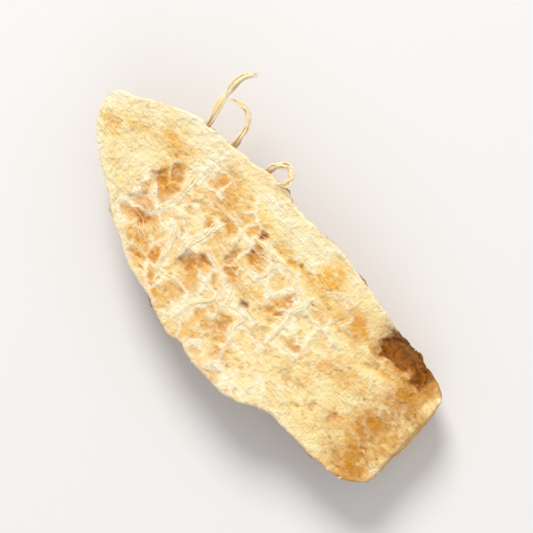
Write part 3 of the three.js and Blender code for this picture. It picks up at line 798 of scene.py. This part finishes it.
# Adds a node, sets its properties, and sets or links each named input
def put(tree, kind, inputs=None, **settings):
    node = tree.nodes.new(kind)
    for key, value in settings.items():
        setattr(node, key, value)
    for key, value in (inputs or {}).items():
        if isinstance(value, bpy.types.NodeSocket):
            tree.links.new(value, node.inputs[key])
        else:
            node.inputs[key].default_value = value
    return node


# One step of arithmetic on up to three values
def calculate(tree, operation, first, second=0.0, third=0.0):
    return put(tree, "ShaderNodeMath", {0: first, 1: second, 2: third}, operation=operation).outputs[0]


# One step of arithmetic on two vectors
def moved(tree, operation, first, second):
    return put(tree, "ShaderNodeVectorMath", {0: first, 1: second}, operation=operation).outputs[0]


# 0 at low, 1 at high, with an S curve between
def ramp(tree, value, low, high):
    settings = {"Value": value, "From Min": low, "From Max": high}
    return put(tree, "ShaderNodeMapRange", settings, interpolation_type="SMOOTHSTEP").outputs[0]


# Noise at a place, from its scale, detail and roughness
def noiseAt(tree, place, scale, detail, roughness):
    settings = {"Vector": place, "Scale": scale, "Detail": detail, "Roughness": roughness}
    return put(tree, "ShaderNodeTexNoise", settings).outputs


# Blend of two colours: the first at factor 0, the second at 1
def mixColour(tree, factor, first, second):
    return put(tree, "ShaderNodeMix", {0: factor, 6: first, 7: second}, data_type="RGBA").outputs[2]


# A colour covered by tints in turn: each moves it to the tint's tone by the tint's mask times a strength
def tinted(tree, colour, masks, tints, tones):
    for name, strength, tone in tints:
        colour = mixColour(tree, calculate(tree, "MULTIPLY", masks[name], strength), colour, tones[tone])
    return colour


# Shared texture of dried plant flesh. Scales are in waves a metre, lengths in metres.
grainForm = {
    "scales": {"Mottle": 1100.0, "Fibre": 3600.0, "Speck": 3000.0},
    "sway": (1300.0, 2.0, 0.5),  # scale, detail and roughness
    "swayReach": (0.0, 0.00025, 0.0),
    "stretch": (0.13, 1.0, 1.0),
    "mottle": (8.0, 0.72),  # detail and roughness
    "mottleRange": (0.3, 0.7),
    "fibre": (2.0, 0.6),
    "threadRange": (0.06, 0.0),  # how far from its middle the noise is at a thread's side and middle
    "patch": (620.0, 3.0, 0.5),
    "patchRange": (0.32, 0.58),
    "powder": (9000.0, 3.0, 0.5),
    "dotRange": (0.12, 0.42),
    "speckRange": (0.8, 0.9),
    "fleckRange": (0.3, 0.2),
    "threadHeight": 0.27,
    "powderHeight": 0.9,
}
grainOutputs = ("Mottle", "Fibre", "Speck", "Fleck", "Height")


# The grain: a soft mottle, thin swaying threads along x where a stretched noise is near its middle, kept
# to patches, small resin specks and pale starch flecks in some cells of a net, and the height of the
# threads and of a fine powder
def makeDriedGrain():
    form = grainForm
    group = bpy.data.node_groups.new("driedGrain", "ShaderNodeTree")
    for name, value in form["scales"].items():
        socket = group.interface.new_socket(name + " Scale", in_out="INPUT", socket_type="NodeSocketFloat")
        socket.default_value = value
    for name in grainOutputs:
        group.interface.new_socket(name, in_out="OUTPUT", socket_type="NodeSocketFloat")
    scales = put(group, "NodeGroupInput").outputs
    place = put(group, "ShaderNodeTexCoord").outputs["Object"]
    sway = moved(group, "MULTIPLY", noiseAt(group, place, *form["sway"])["Color"], form["swayReach"])
    swayed = moved(group, "ADD", place, sway)
    longWays = put(group, "ShaderNodeMapping", {"Vector": swayed, "Scale": form["stretch"]}).outputs[0]
    mottle = noiseAt(group, place, scales["Mottle Scale"], *form["mottle"])["Fac"]
    fibre = noiseAt(group, longWays, scales["Fibre Scale"], *form["fibre"])["Fac"]
    fromMiddle = calculate(group, "ABSOLUTE", calculate(group, "SUBTRACT", fibre, 0.5))
    patch = ramp(group, noiseAt(group, place, *form["patch"])["Fac"], *form["patchRange"])
    thread = calculate(group, "MULTIPLY", ramp(group, fromMiddle, *form["threadRange"]), patch)
    powder = noiseAt(group, place, *form["powder"])["Fac"]
    cells = put(group, "ShaderNodeTexVoronoi", {"Vector": place, "Scale": scales["Speck Scale"]}).outputs
    number = put(group, "ShaderNodeSeparateColor", {"Color": cells["Color"]}).outputs[0]
    dot = calculate(group, "SUBTRACT", 1.0, ramp(group, cells["Distance"], *form["dotRange"]))
    threadHeight = calculate(group, "MULTIPLY", thread, form["threadHeight"])
    put(group, "NodeGroupOutput", {
        "Mottle": ramp(group, mottle, *form["mottleRange"]),
        "Fibre": thread,
        "Speck": calculate(group, "MULTIPLY", dot, ramp(group, number, *form["speckRange"])),
        "Fleck": calculate(group, "MULTIPLY", dot, ramp(group, number, *form["fleckRange"])),
        "Height": calculate(group, "MULTIPLY_ADD", powder, form["powderHeight"], threadHeight)})
    return group


# An empty material with the shared grain at the given scales, and all that its tints can follow: the
# grain's outputs and the named masks of the mesh
def startMaterial(name, scales, maskNames):
    material = bpy.data.materials.new(name)
    material.use_nodes = True
    tree = material.node_tree
    tree.nodes.clear()
    grain = put(tree, "ShaderNodeGroup", node_tree=driedGrain)
    for key, value in scales.items():
        grain.inputs[key + " Scale"].default_value = value
    masks = {key: grain.outputs[key] for key in grainOutputs}
    for key in maskNames:
        masks[key] = put(tree, "ShaderNodeAttribute", attribute_name=key).outputs["Fac"]
    return material, tree, masks


# The shader: a colour, a roughness that rises with the mottle, and the grain as a bump
def finishMaterial(tree, masks, colour, finish):
    rough = calculate(tree, "MULTIPLY_ADD", masks["Mottle"], finish["roughSpread"], finish["roughness"])
    normal = put(tree, "ShaderNodeBump", {
        "Height": masks["Height"], "Strength": finish["bumpStrength"], "Distance": finish["bumpSize"]})
    shader = put(tree, "ShaderNodeBsdfPrincipled", {
        "Base Color": colour, "Roughness": rough, "Normal": normal.outputs[0],
        "Specular IOR Level": finish["shine"]})
    put(tree, "ShaderNodeOutputMaterial", {"Surface": shader.outputs[0]})


fleshFinish = {
    "tones": {
        "cream": paint(255, 231, 164),
        "tan": paint(228, 160, 58),
        "pale": paint(255, 249, 224),
        "yellow": paint(250, 192, 60),
        "ochre": paint(196, 112, 6),
        # Darker tan towards the cross-cut: the flesh's own tone and painted shade
        "dusk": paint(202, 136, 42),
        "brown": paint(132, 78, 34),
        "resin": paint(212, 146, 70),
        "bareRind": paint(140, 76, 16),
        "bareHollowShade": paint(76, 42, 14),
    },
    "scales": {},
    "masks": ("tan", "band", "dusk", "paintedShading", "pit", "strand", "rim", "dark", "bare"),
    "mottled": (0.8, -0.4),  # how much the mottle adds to the tan, and what is taken off
    "deep": (0.5, 1.0),  # painted shade in hollows: shading mask from and to
    # painted highlight on crests: shading mask from and to
    "high": (0.48, 0.1),
    "tints": [  # mask, strength and tone
        ("band", 0.75, "yellow"), ("Fibre", 0.3, "pale"), ("Speck", 0.45, "resin"), ("Fleck", 0.5, "pale"),
        ("dusk", 0.8, "dusk"), ("deep", 0.4, "ochre"), ("pit", 0.62, "ochre"), ("strand", 0.8, "pale"),
        ("high", 0.5, "pale"), ("rim", 0.65, "pale"), ("dark", 0.85, "brown"),
    ],
    # painted shade in the hollows of the bare floor: shading mask from and to
    "bareSpan": (0.8, 0.3),
    "bareTints": [("Mottle", 0.4, "ochre")],
    "bareCover": 0.92,
    "roughness": 0.8,
    "roughSpread": 0.16,
    "bumpStrength": 0.8,
    "bumpSize": 0.0001,
    "shine": 0.06,
}


# Cut flesh: cream to tan by the tan mask and the mottle, tinted by each mask in turn, among them painted
# shade in hollows and painted highlights on crests and along the rim, and covered by the rind's own tones
# where it is bare, with painted shade in its hollows
def makeCutFlesh():
    finish, tones = fleshFinish, fleshFinish["tones"]
    material, tree, masks = startMaterial("cutFlesh", finish["scales"], finish["masks"])
    # Painted shade: ochre in the hollows of the relief. Painted highlight: pale on its crests.
    masks["deep"] = ramp(tree, masks["paintedShading"], *finish["deep"])
    masks["high"] = ramp(tree, masks["paintedShading"], *finish["high"])
    mottled = calculate(tree, "MULTIPLY_ADD", masks["Mottle"], *finish["mottled"])
    tan = put(tree, "ShaderNodeClamp", {"Value": calculate(tree, "ADD", masks["tan"], mottled)})
    colour = mixColour(tree, tan.outputs[0], tones["cream"], tones["tan"])
    colour = tinted(tree, colour, masks, finish["tints"], tones)
    # Bare rind: its own brown, darker in the hollows as painted shade
    crest = ramp(tree, masks["paintedShading"], *finish["bareSpan"])
    bareTone = mixColour(tree, crest, tones["bareHollowShade"], tones["bareRind"])
    bareTone = tinted(tree, bareTone, masks, finish["bareTints"], tones)
    cover = calculate(tree, "MULTIPLY", masks["bare"], finish["bareCover"])
    finishMaterial(tree, masks, mixColour(tree, cover, colour, bareTone), finish)
    return material


rindFinish = {
    "tones": {
        # groove and crest: the rind's own brown, darker in fold grooves as painted shade and lighter on
        # crests as painted highlight
        "groove": paint(122, 78, 40),
        "crest": paint(206, 160, 100),
        "dust": paint(228, 200, 154),
        # On the rind this tone is a stain of its own
        "stain": paint(160, 108, 58),
        "scar": paint(92, 58, 32),
    },
    "scales": {"Fibre": 4200.0, "Mottle": 700.0},
    "masks": ("fold", "paintedShading", "scar"),
    "foldSpan": (0.15, 0.8),
    "stained": (0.5, 0.1),  # mottle from and to
    "dusted": (0.55, 0.95),
    "creaseShade": (0.55, 1.0),  # painted shade in creases: shading mask from and to
    "tints": [  # mask, strength and tone; the crease tint is painted shade in the scars' tone
        ("stained", 0.55, "stain"), ("dusted", 0.6, "dust"), ("Fibre", 0.3, "groove"), ("Speck", 0.5, "scar"),
        ("Fleck", 0.35, "dust"), ("creaseShade", 0.6, "scar"), ("scar", 0.6, "scar"),
    ],
    "roughness": 0.66,
    "roughSpread": 0.16,
    "bumpStrength": 0.8,
    "bumpSize": 0.00016,
    "shine": 0.25,
}


# Rind: groove to crest by the fold mask, which paints shade in the fold grooves and highlights on the crests,
# stained and dusted by the mottle, dark in scars, and painted shade in creases
def makeRindCork():
    finish, tones = rindFinish, rindFinish["tones"]
    material, tree, masks = startMaterial("rindCork", finish["scales"], finish["masks"])
    masks["stained"] = ramp(tree, masks["Mottle"], *finish["stained"])
    masks["dusted"] = ramp(tree, masks["Mottle"], *finish["dusted"])
    masks["creaseShade"] = ramp(tree, masks["paintedShading"], *finish["creaseShade"])
    crest = ramp(tree, masks["fold"], *finish["foldSpan"])
    colour = mixColour(tree, crest, tones["groove"], tones["crest"])
    finishMaterial(tree, masks, tinted(tree, colour, masks, finish["tints"], tones), finish)
    return material


fibreFinish = {
    "straw": paint(255, 245, 212),
    "root": paint(248, 220, 166),
    "scales": {"Mottle": 2400.0},
    "roughness": 0.55,
    "roughSpread": 0.16,
    "bumpStrength": 0.8,
    "bumpSize": 0.00003,
    "shine": 0.35,
}


# Fibres: straw mottled with a darker tone
def makeFibreStraw():
    material, tree, masks = startMaterial("fibreStraw", fibreFinish["scales"], ())
    colour = mixColour(tree, masks["Mottle"], fibreFinish["straw"], fibreFinish["root"])
    finishMaterial(tree, masks, colour, fibreFinish)
    return material


driedGrain = makeDriedGrain()
cutFlesh = makeCutFlesh()
rindCork = makeRindCork()
fibreStraw = makeFibreStraw()
print("materials made")

body, bodyMasks, facePoints = sliceSurface()
cap, capMasks = crossCut(body[-1], facePoints)
sliceMesh = ringMesh("gingerSlice", fromRest(np.concatenate([body, cap]))[None])
for name in capMasks:
    pointMask(sliceMesh, name, np.concatenate([bodyMasks[name], capMasks[name]]))
gingerSlice = showPiece("gingerSlice", sliceMesh, [cutFlesh, rindCork])
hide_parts("ginger_slice")

# The body's faces under the cut face are rind, and the cross-cut is flesh
isRind = np.arange(sliceForm["ringPoints"]) >= facePoints
bodyFinish = np.tile(isRind, sliceForm["columns"] - 1)
endFinish = np.zeros(sliceForm["ringPoints"] * crossEnd["rows"], bool)
sliceMesh.polygons.foreach_set("material_index", np.concatenate([bodyFinish, endFinish]).astype(np.int32))
sliceMesh.update()
print("slice:", len(sliceMesh.polygons), "faces")

# Section of every fibre, and how it changes along it
fibreForm = {
    "sideways": (0.13, 0.21, 1.0),  # a direction that no fibre runs in
    "flat": 0.85,
    "pinch": (0.22, 14.0),  # share and waves along the fibre
    "rootFade": 12.0,
    "tipTaper": (3, 0.5),
    "thinner": 0.25,
    "twist": 5.0,
    "grooves": ((0.1, 5.0), (0.12, 2.0)),  # share and count round the fibre
}


# Flattened, twisting tubes along paths: an oval across each path, grooved round by cosines, pinched along
# it by noise, and closed to a point at both ends
def fibreTubes(paths, radii, sides, seed):
    form = fibreForm
    count, steps = paths.shape[:2]
    ahead = np.gradient(paths, axis=1)
    ahead /= np.linalg.norm(ahead, axis=2, keepdims=True)
    side = np.cross(ahead, form["sideways"])
    side /= np.linalg.norm(side, axis=2, keepdims=True)
    up = np.cross(side, ahead)
    part = np.linspace(0.0, 1.0, steps)[None, :, None]
    turn = np.linspace(0.0, 2.0 * math.pi, sides, endpoint=False)[None, None, :]
    each = rowsApart * np.arange(count)[:, None, None]
    pinch, pinchWaves = form["pinch"]
    power, root = form["tipTaper"]
    taper = np.minimum(1.0, form["rootFade"] * part) * (1.0 - part ** power) ** root
    size = radii[:, None, None] * taper * (1.0 - form["thinner"] * part)
    size = size * (1.0 + pinch * valueNoise(pinchWaves * part, each, 0.0, seed))
    twisted = turn + form["twist"] * part
    size = size * (1.0 + sum(share * np.cos(folds * twisted) for share, folds in form["grooves"]))
    tubes = paths[:, :, None] + (size * np.cos(turn))[..., None] * side[:, :, None]
    tubes = tubes + (form["flat"] * size * np.sin(turn))[..., None] * up[:, :, None]
    tubes[:, 0], tubes[:, -1] = paths[:, :1], paths[:, -1:]
    return tubes


looseFibres = {
    "paths": [  # x, y and height over the resting plane
        [(-5.55, 2.2, 2.3), (-5.75, 3.1, 2.7), (-6.05, 4.2, 3.0), (-6.1, 5.0, 3.1), (-5.85, 5.65, 3.0)],
        [(-4.35, 2.6, 2.3), (-4.4, 3.3, 2.6), (-4.65, 4.1, 2.9), (-5.2, 4.4, 3.0), (-5.95, 4.15, 3.0)],
        [(-2.7, 2.8, 2.3), (-2.75, 3.5, 2.65), (-2.62, 4.0, 2.95), (-2.28, 4.2, 3.1), (-1.95, 3.98, 3.15),
         (-1.93, 3.62, 3.1), (-2.2, 3.42, 3.0)],
    ],
    "radius": 0.115,
    "splits": 4,  # thin threads along each fibre
    "splitRadius": 0.045,
    "splitReach": 0.17,
    "splitWaves": 5.0,
    "splitLevels": (0.0, 3.0, 6.0),  # of the noises that move x, y and z
    "steps": 90,
    "sides": 10,
    "seed": 5,
}


# Thin threads that have split off the loose fibres: each fibre's path moved by three noises along it
def splitPaths(paths):
    loose = looseFibres
    each = rowsApart * np.arange(loose["splits"] * len(paths))[:, None]
    part = np.linspace(0.0, loose["splitWaves"], loose["steps"])[None]
    wander = [valueNoise(part, each, level, loose["seed"]) for level in loose["splitLevels"]]
    return np.repeat(paths, loose["splits"], axis=0) + loose["splitReach"] * np.stack(wander, axis=2)


paths = np.stack([smoothRows(points, looseFibres["steps"]) for points in looseFibres["paths"]])
threads = splitPaths(paths)
radii = np.repeat([looseFibres["radius"], looseFibres["splitRadius"]], [len(paths), len(threads)])
paths = np.concatenate([paths, threads])
looseTubes = fibreTubes(paths, radii, looseFibres["sides"], looseFibres["seed"])
looseMesh = ringMesh("looseFibres", fromRest(looseTubes))
showPiece("looseFibres", looseMesh, [fibreStraw])
print("loose fibres:", len(looseMesh.polygons), "faces")


# Height of the cut face at any x and y: the four grid points round it, weighted by nearness
def faceHeightAt(x, y):
    justUnder = 0.999
    lastColumn = len(body) - 2 + justUnder
    column = np.clip(np.interp(x, body[:, facePoints // 2, 0], np.arange(len(body))), 0.0, lastColumn)
    i = column.astype(int)
    near, far = body[i, 0, 1], body[i, facePoints, 1]
    row = np.clip((y - near) / (far - near) * facePoints, 0.0, facePoints - 1 + justUnder)
    j = row.astype(int)
    u, v = column - i, row - j
    start = body[i, j, 2] * (1.0 - v) + body[i, j + 1, 2] * v
    stop = body[i + 1, j, 2] * (1.0 - v) + body[i + 1, j + 1, 2] * v
    return start * (1.0 - u) + stop * u


# Threads along the strands of the cut face, and stubs that stick out of its edge
fineFibres = {
    "threads": 6,  # for each strand
    "single": 26,  # thin threads on their own, along the slice
    "singleAt": ((-4.6, 3.6), (-2.2, 1.9)),
    "singleLength": (0.5, 1.5),
    "singleTurn": 0.25,
    "spread": 0.075,
    "wave": (0.07, 2.0),  # reach and waves a millimetre
    "overrun": (-0.15, 0.35),  # parts of a strand's length that a thread runs on past its ends
    "lift": 0.008,
    "radius": (0.013, 0.032),
    "singleRadius": 0.016,
    "stubs": 16,
    "stubColumns": (20, -4),  # first and last column of the slice that has stubs
    "stubInset": 2,  # grid points in from the edge
    "stubLength": (0.08, 0.26),
    "stubLean": (0.5, 0.6),  # middle and spread of the turn along the slice
    "stubDrop": (-0.25, 0.15),
    "stubSunk": 0.02,
    "steps": 20,
    "sides": 6,
    "seed": 11,
}


# Ends of the threads' lines: each strand several times, then single lines at random places and turns
def threadLines(random):
    fine = fineFibres
    middleX, middleY = (random.uniform(*span, fine["single"]) for span in fine["singleAt"])
    turn = random.normal(0.0, fine["singleTurn"], fine["single"])
    half = random.uniform(*fine["singleLength"], fine["single"]) / 2.0
    acrossX, acrossY = half * np.cos(turn), half * np.sin(turn)
    lines = np.stack([middleX - acrossX, middleY - acrossY, middleX + acrossX, middleY + acrossY], axis=1)
    return np.concatenate([np.repeat(np.array(cutFace["strands"]), fine["threads"], axis=0), lines])


# Threads: straight lines from before a strand's start to past its end, moved sideways by a random step
# and a noise along them, moved back by what stirs the relief, and half sunk in the face
def threadPaths(random, part):
    fine = fineFibres
    ends = threadLines(random)
    startX, startY, stopX, stopY = (ends[:, k:k + 1] for k in range(4))
    alongX, alongY = stopX - startX, stopY - startY
    length = np.hypot(alongX, alongY)
    before, after = random.uniform(*fine["overrun"], (2, len(ends), 1))
    run = (1.0 + before + after) * part - before
    each = rowsApart * np.arange(len(ends))[:, None]
    reach, waves = fine["wave"]
    shift = random.normal(0.0, fine["spread"], (len(ends), 1))
    shift = shift + reach * valueNoise(waves * length * run, each, 0.0, fine["seed"])
    x = startX + run * alongX - shift * alongY / length
    y = startY + run * alongY + shift * alongX / length
    movedX, movedY = stirred(x, y, cutFace["stir"][:1], cutFace["stirSeed"])
    x, y = 2.0 * x - movedX, 2.0 * y - movedY
    return np.stack([x, y, faceHeightAt(x, y) + fine["lift"]], axis=2)


# Stubs from random points of the face's edge: outwards and along it by the cosine and sine of a random
# lean, rising or sinking by the square of the part along them
def stubPaths(random, part):
    fine = fineFibres
    count, inset = fine["stubs"], fine["stubInset"]
    firstColumn, lastColumn = fine["stubColumns"]
    column = random.integers(firstColumn, len(body) + lastColumn, count)
    far = random.random(count) < 0.5
    start = np.where(far[:, None], body[column, facePoints - inset], body[column, inset])[:, None]
    out = np.where(far, 1.0, -1.0)[:, None]
    length = random.uniform(*fine["stubLength"], (count, 1))
    lean = random.normal(*fine["stubLean"], (count, 1))
    run = part * length
    drop = random.uniform(*fine["stubDrop"], (count, 1)) * length * part ** 2
    return start + np.stack([run * np.sin(lean), run * np.cos(lean) * out, drop - fine["stubSunk"]], axis=2)


random = np.random.default_rng(fineFibres["seed"])
part = np.linspace(0.0, 1.0, fineFibres["steps"])[None]
paths = np.concatenate([threadPaths(random, part), stubPaths(random, part)])
radii = random.uniform(*fineFibres["radius"], len(paths))
firstSingle = fineFibres["threads"] * len(cutFace["strands"])
radii[firstSingle:firstSingle + fineFibres["single"]] = fineFibres["singleRadius"]
fineTubes = fibreTubes(paths, radii, fineFibres["sides"], fineFibres["seed"])
fineMesh = ringMesh("fineFibres", fromRest(fineTubes))
showPiece("fineFibres", fineMesh, [fibreStraw])
print("fine fibres:", len(fineMesh.polygons), "faces")

# Stage: pale floor, soft key light from the far edge, weak fill, camera straight above
stage = {
    "roll": 49.57,  # degrees that the slice's length turns down to the right in the picture
    "frameWidth": 20.5,  # millimetres across the picture
    "lens": 120.0,
    "sensor": 36.0,
    "clipStart": 1.0,
    "keyFrom": (-0.78, 0.42, 0.8),
    "fillFrom": (0.7, -0.6, 0.7),
    "lightDistance": 320.0,
    "keySize": 130.0,
    "fillSize": 280.0,
    "keyPower": 0.79,
    "fillPower": 0.1,
    "keyColour": (1.0, 0.955, 0.88),
    "fillColour": (0.95, 0.97, 1.0),
    "skyColour": (1.0, 0.985, 0.955, 1.0),
    "skyStrength": 0.54,
    "floorSize": 1.2,
    "floorColour": paint(238, 239, 242),
    "floorRoughness": 0.8,
    "floorBelow": 0.01,
}
lowest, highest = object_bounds()
middle = (lowest + highest) / 2.0

floorMaterial = bpy.data.materials.new("paleFloor")
floorMaterial.use_nodes = True
floorShader = floorMaterial.node_tree.nodes["Principled BSDF"]
floorShader.inputs["Base Color"].default_value = stage["floorColour"]
floorShader.inputs["Roughness"].default_value = stage["floorRoughness"]
floorMesh = bpy.data.meshes.new("floor")
reach = stage["floorSize"] / 2.0
corners = [(-reach, -reach, 0.0), (reach, -reach, 0.0), (reach, reach, 0.0), (-reach, reach, 0.0)]
floorMesh.from_pydata(corners, [], [(0, 1, 2, 3)])
floorMesh.materials.append(floorMaterial)
floor = bpy.data.objects.new("floor", floorMesh)
floor.location.z = -stage["floorBelow"] * millimetre
bpy.context.scene.collection.objects.link(floor)


# A round area light at a distance in a given direction, turned to face the middle of the slice
def areaLight(name, towards, size, power, colour):
    data = bpy.data.lights.new(name, "AREA")
    data.shape = "DISK"
    data.size = size * millimetre
    data.energy = power
    data.color = colour
    lamp = bpy.data.objects.new(name, data)
    offset = np.array(towards) / np.linalg.norm(towards) * stage["lightDistance"] * millimetre
    lamp.location = [middle[k] + offset[k] for k in range(3)]
    lamp.rotation_mode = "QUATERNION"
    lamp.rotation_quaternion = (middle - lamp.location).to_track_quat("-Z", "Y")
    bpy.context.scene.collection.objects.link(lamp)


areaLight("keyLight", stage["keyFrom"], stage["keySize"], stage["keyPower"], stage["keyColour"])
areaLight("fillLight", stage["fillFrom"], stage["fillSize"], stage["fillPower"], stage["fillColour"])

world = bpy.data.worlds.new("studio")
world.use_nodes = True
sky = world.node_tree.nodes["Background"]
sky.inputs["Color"].default_value = stage["skyColour"]
sky.inputs["Strength"].default_value = stage["skyStrength"]
bpy.context.scene.world = world
bpy.context.scene.view_settings.view_transform = "Standard"

cameraData = bpy.data.cameras.new("camera")
cameraData.lens = stage["lens"]
cameraData.sensor_width = stage["sensor"]
cameraData.clip_start = stage["clipStart"] * millimetre
camera = bpy.data.objects.new("camera", cameraData)
away = stage["frameWidth"] * stage["lens"] / stage["sensor"] * millimetre
camera.location = (middle.x, middle.y, highest.z + away)
camera.rotation_euler = (0.0, 0.0, math.radians(stage["roll"]))
bpy.context.scene.collection.objects.link(camera)
bpy.context.scene.camera = camera
print("stage set")
